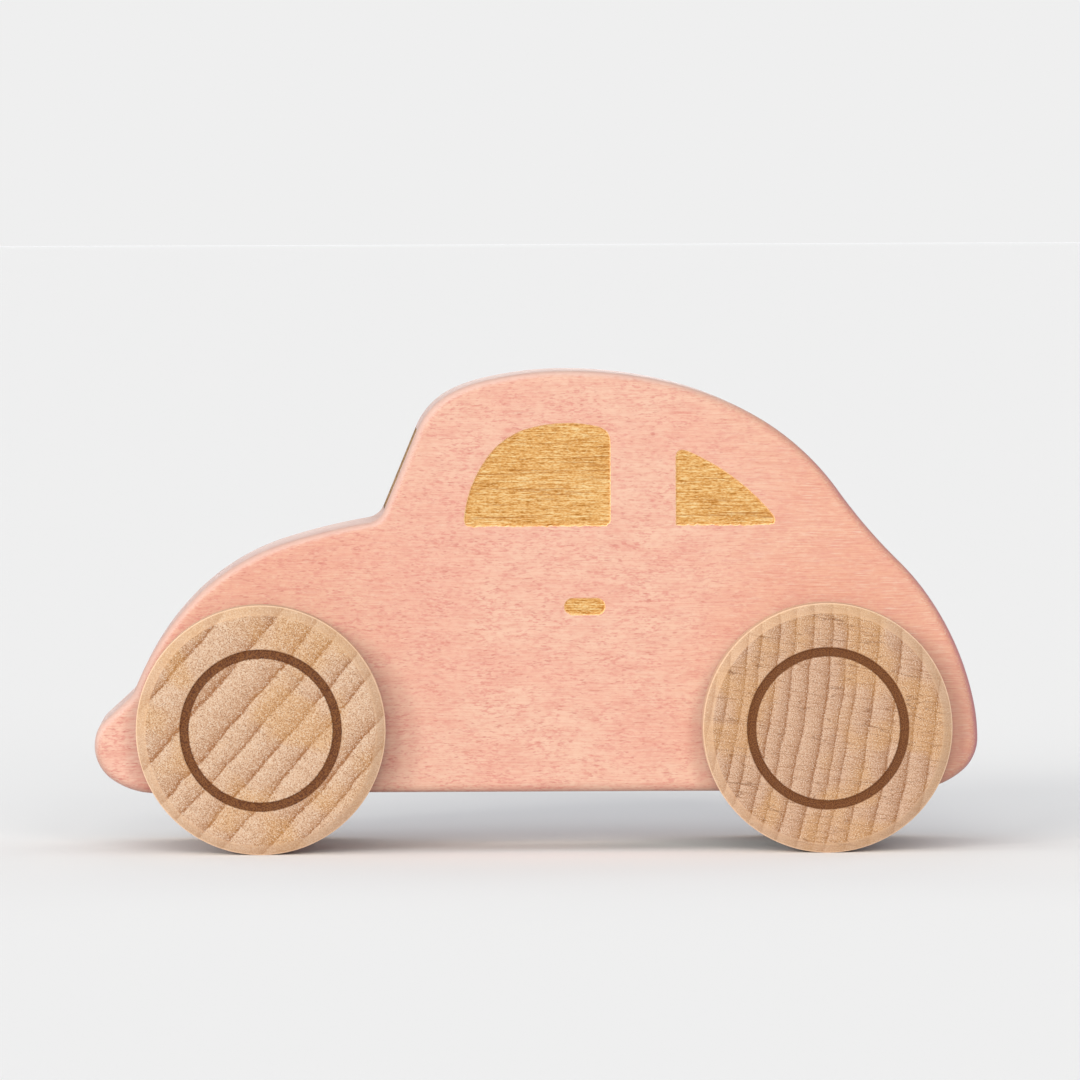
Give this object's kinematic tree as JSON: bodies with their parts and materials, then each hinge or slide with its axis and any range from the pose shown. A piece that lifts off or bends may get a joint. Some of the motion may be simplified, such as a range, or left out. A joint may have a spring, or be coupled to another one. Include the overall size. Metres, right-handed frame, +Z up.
{
  "type": "pull back toy car",
  "caption": "Rounded wooden toy car with engraved windows, turned wheels and a pull back spring motor on the rear axle.",
  "frame": {"origin": "on the floor, under the middle of the car's box", "axes": "+Z up, the nose points to -X, the car's left side faces -Y"},
  "size_m": [0.13, 0.0556, 0.0707],
  "materials": {
    "stained_wood": "stained, matt",
    "wheel_wood": "turned, oiled",
    "steel": "drawn",
    "zinc_screws": "zinc plated",
    "white_nylon": "moulded",
    "case_plastic": "moulded",
    "gear_plastic": "moulded",
    "brass": "machined"
  },
  "bodies": {
    "car": {"car_body": "stained_wood", "front_bush_left": "white_nylon", "front_bush_right": "white_nylon", "motor_case_left": "case_plastic", "motor_case_right": "case_plastic", "case_screws": "zinc_screws", "motor_screws": "zinc_screws", "drive_arbor": "steel", "winding_arbor": "steel", "spring_arbor": "steel"},
    "front_axle_set": {"front_axle": "steel", "front_left_wheel": "wheel_wood", "front_right_wheel": "wheel_wood"},
    "rear_axle_set": {"rear_axle": "steel", "rear_left_wheel": "wheel_wood", "rear_right_wheel": "wheel_wood", "rear_washer_left": "white_nylon", "rear_washer_right": "white_nylon", "axle_pinion": "brass"},
    "drive_gear_set": {"drive_gear": "gear_plastic"},
    "winding_gear_set": {"winding_gear": "gear_plastic"},
    "spring_gear_set": {"spring_gear": "gear_plastic", "mainspring": "steel"}
  },
  "joints": [
    {"name": "front_axle_spin", "type": "hinge", "parent": "car", "child": "front_axle_set", "pos_m": [-0.0405, 0, 0.0183], "axis": [0, 1, 0], "continuous": true},
    {"name": "rear_axle_spin", "type": "hinge", "parent": "car", "child": "rear_axle_set", "pos_m": [0.0426, 0, 0.0183], "axis": [0, 1, 0], "continuous": true},
    {"name": "drive_gear_spin", "type": "hinge", "parent": "car", "child": "drive_gear_set", "pos_m": [0.03385, 0, 0.0241], "axis": [0, 1, 0], "continuous": true},
    {"name": "winding_gear_spin", "type": "hinge", "parent": "car", "child": "winding_gear_set", "pos_m": [0.03619, 0, 0.01549], "axis": [0, 1, 0], "continuous": true},
    {"name": "spring_gear_spin", "type": "hinge", "parent": "car", "child": "spring_gear_set", "pos_m": [0.0246, 0, 0.0203], "axis": [0, 1, 0], "continuous": true}
  ],
  "couplings": [
    {"joint": "drive_gear_spin", "follows": "rear_axle_spin", "ratio": -0.4},
    {"joint": "winding_gear_spin", "follows": "rear_axle_spin", "ratio": -0.75},
    {"joint": "spring_gear_spin", "follows": "rear_axle_spin", "ratio": 0.13333}
  ]
}
